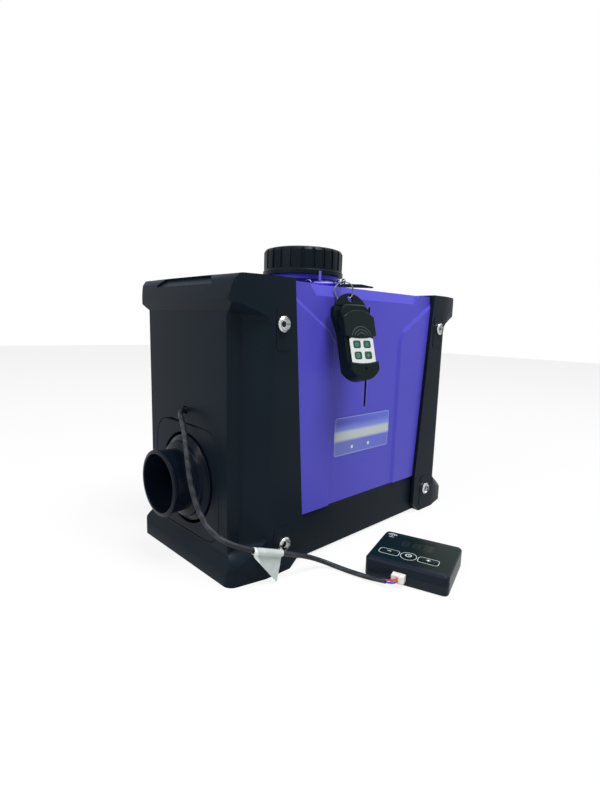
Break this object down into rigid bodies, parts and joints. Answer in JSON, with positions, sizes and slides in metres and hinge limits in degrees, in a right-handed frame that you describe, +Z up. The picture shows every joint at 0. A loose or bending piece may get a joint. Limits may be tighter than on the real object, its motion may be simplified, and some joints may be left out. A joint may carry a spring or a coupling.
{
  "type": "portable diesel air heater",
  "caption": "Portable diesel air heater with a saddle fuel tank between moulded end caps, a warm-air spigot, a screw filler cap, a hanging remote and a cabled controller.",
  "frame": {"origin": "middle of the footprint, on the underside of the tray where it stands on the floor", "axes": "+Z up, +X along the heater towards the fresh-air inlet (warm air leaves at -X), the labelled front faces -Y"},
  "size_m": [0.3846, 0.316, 0.3146],
  "materials": {
    "shell_black": "fine matt moulded grain",
    "tank_blue": "satin blow-moulded",
    "cap_black": "satin",
    "gloss_black": "high gloss",
    "duct_plastic": "gloss moulded",
    "soft_black": "matt rubber",
    "cable": "satin sheath",
    "paper": "coated paper film",
    "label": "printed film without words",
    "zinc": "bright plated steel",
    "clasp_violet": "anodised look, gloss",
    "cast": "die cast",
    "steel": "machined",
    "board_green": "circuit board",
    "window_black": "smoked window",
    "button_green": "rubberised",
    "plug_white": "moulded nylon",
    "wires": "insulated wire",
    "strip": "translucent strip"
  },
  "bodies": {
    "case": {"air_intake_stub": "cap_black", "base_tray": "shell_black", "blower_motor": "steel", "burner_housing": "cast", "burner_tube": "steel", "cap_screws": "zinc", "chain_link_1": "zinc", "chain_link_2": "zinc", "chain_link_3": "zinc", "clasp_body": "clasp_violet", "control_board": "board_green", "controller_board": "board_green", "controller_bottom": "gloss_black", "controller_cord": "cable", "controller_display": "window_black", "controller_plug": "plug_white", "controller_top": "gloss_black", "cord_clamp": "soft_black", "cord_tag": "paper", "exhaust_stub": "steel", "fuel_feed": "soft_black", "fuel_line": "soft_black", "fuel_pump": "steel", "fuel_tank": "tank_blue", "glow_plug": "steel", "heat_exchanger": "cast", "inlet_duct": "cap_black", "inlet_grille": "shell_black", "jacket_lower": "cap_black", "jacket_upper": "cap_black", "label_plate": "label", "left_end_cap": "shell_black", "level_strip": "strip", "mount_block": "cast", "outlet_duct": "cap_black", "outlet_plate": "shell_black", "outlet_spigot": "duct_plastic", "plug_wires": "wires", "power_gland": "cap_black", "right_end_cap": "shell_black", "tank_outlet": "steel", "zip_tie": "cap_black"},
    "filler_seal": {"cap_seal": "soft_black"},
    "filler_cap": {"fuel_cap": "cap_black"},
    "rotor": {"motor_shaft": "steel", "combustion_impeller": "cast", "fan_wheel": "cap_black"},
    "ring": {"key_ring": "zinc"},
    "remote": {"fob_back": "cap_black", "fob_front": "cap_black"},
    "remote_cover": {"fob_cover": "cap_black"},
    "remote_key_1": {"fob_button_1": "button_green"},
    "remote_key_2": {"fob_button_2": "button_green"},
    "remote_key_3": {"fob_button_3": "button_green"},
    "remote_key_4": {"fob_button_4": "button_green"},
    "minus_key": {"key_minus": "gloss_black"},
    "power_key": {"key_power": "gloss_black"},
    "plus_key": {"key_plus": "gloss_black"}
  },
  "joints": [
    {"name": "cap_rise", "type": "slide", "parent": "case", "child": "filler_seal", "axis": [0, 0, 1], "range_m": [0, 0.0195]},
    {"name": "cap_turn", "type": "hinge", "parent": "filler_seal", "child": "filler_cap", "pos_m": [-0.023, 0, 0.3], "axis": [0, 0, 1], "range_deg": [0, 1170.1]},
    {"name": "fan_spin", "type": "hinge", "parent": "case", "child": "rotor", "pos_m": [0.05, 0, 0.0819], "axis": [1, 0, 0], "continuous": true},
    {"name": "ring_swing", "type": "hinge", "parent": "case", "child": "ring", "pos_m": [-0.0519, -0.0875, 0.2751], "axis": [-1, 0, 0], "range_deg": [0, 40]},
    {"name": "remote_swing", "type": "hinge", "parent": "ring", "child": "remote", "pos_m": [-0.0484, -0.092, 0.25875], "axis": [-0.1344, -0.9565, 0.2588], "range_deg": [-20, 20]},
    {"name": "cover_slide", "type": "slide", "parent": "remote", "child": "remote_cover", "axis": [-0.036, -0.2563, -0.9659], "range_m": [0, 0.024]},
    {"name": "remote_press_1", "type": "slide", "parent": "remote", "child": "remote_key_1", "axis": [0.1344, 0.9565, -0.2588], "range_m": [0, 0.0005], "stiffness_N_per_m": 800},
    {"name": "remote_press_2", "type": "slide", "parent": "remote", "child": "remote_key_2", "axis": [0.1344, 0.9565, -0.2588], "range_m": [0, 0.0005], "stiffness_N_per_m": 800},
    {"name": "remote_press_3", "type": "slide", "parent": "remote", "child": "remote_key_3", "axis": [0.1344, 0.9565, -0.2588], "range_m": [0, 0.0005], "stiffness_N_per_m": 800},
    {"name": "remote_press_4", "type": "slide", "parent": "remote", "child": "remote_key_4", "axis": [0.1344, 0.9565, -0.2588], "range_m": [0, 0.0005], "stiffness_N_per_m": 800},
    {"name": "minus_press", "type": "slide", "parent": "case", "child": "minus_key", "axis": [0, 0, -1], "range_m": [0, 0.0004], "stiffness_N_per_m": 1200},
    {"name": "power_press", "type": "slide", "parent": "case", "child": "power_key", "axis": [0, 0, -1], "range_m": [0, 0.0004], "stiffness_N_per_m": 1200},
    {"name": "plus_press", "type": "slide", "parent": "case", "child": "plus_key", "axis": [0, 0, -1], "range_m": [0, 0.0004], "stiffness_N_per_m": 1200}
  ],
  "couplings": [
    {"joint": "cap_turn", "follows": "cap_rise", "rad_per_m": 1047.2}
  ]
}
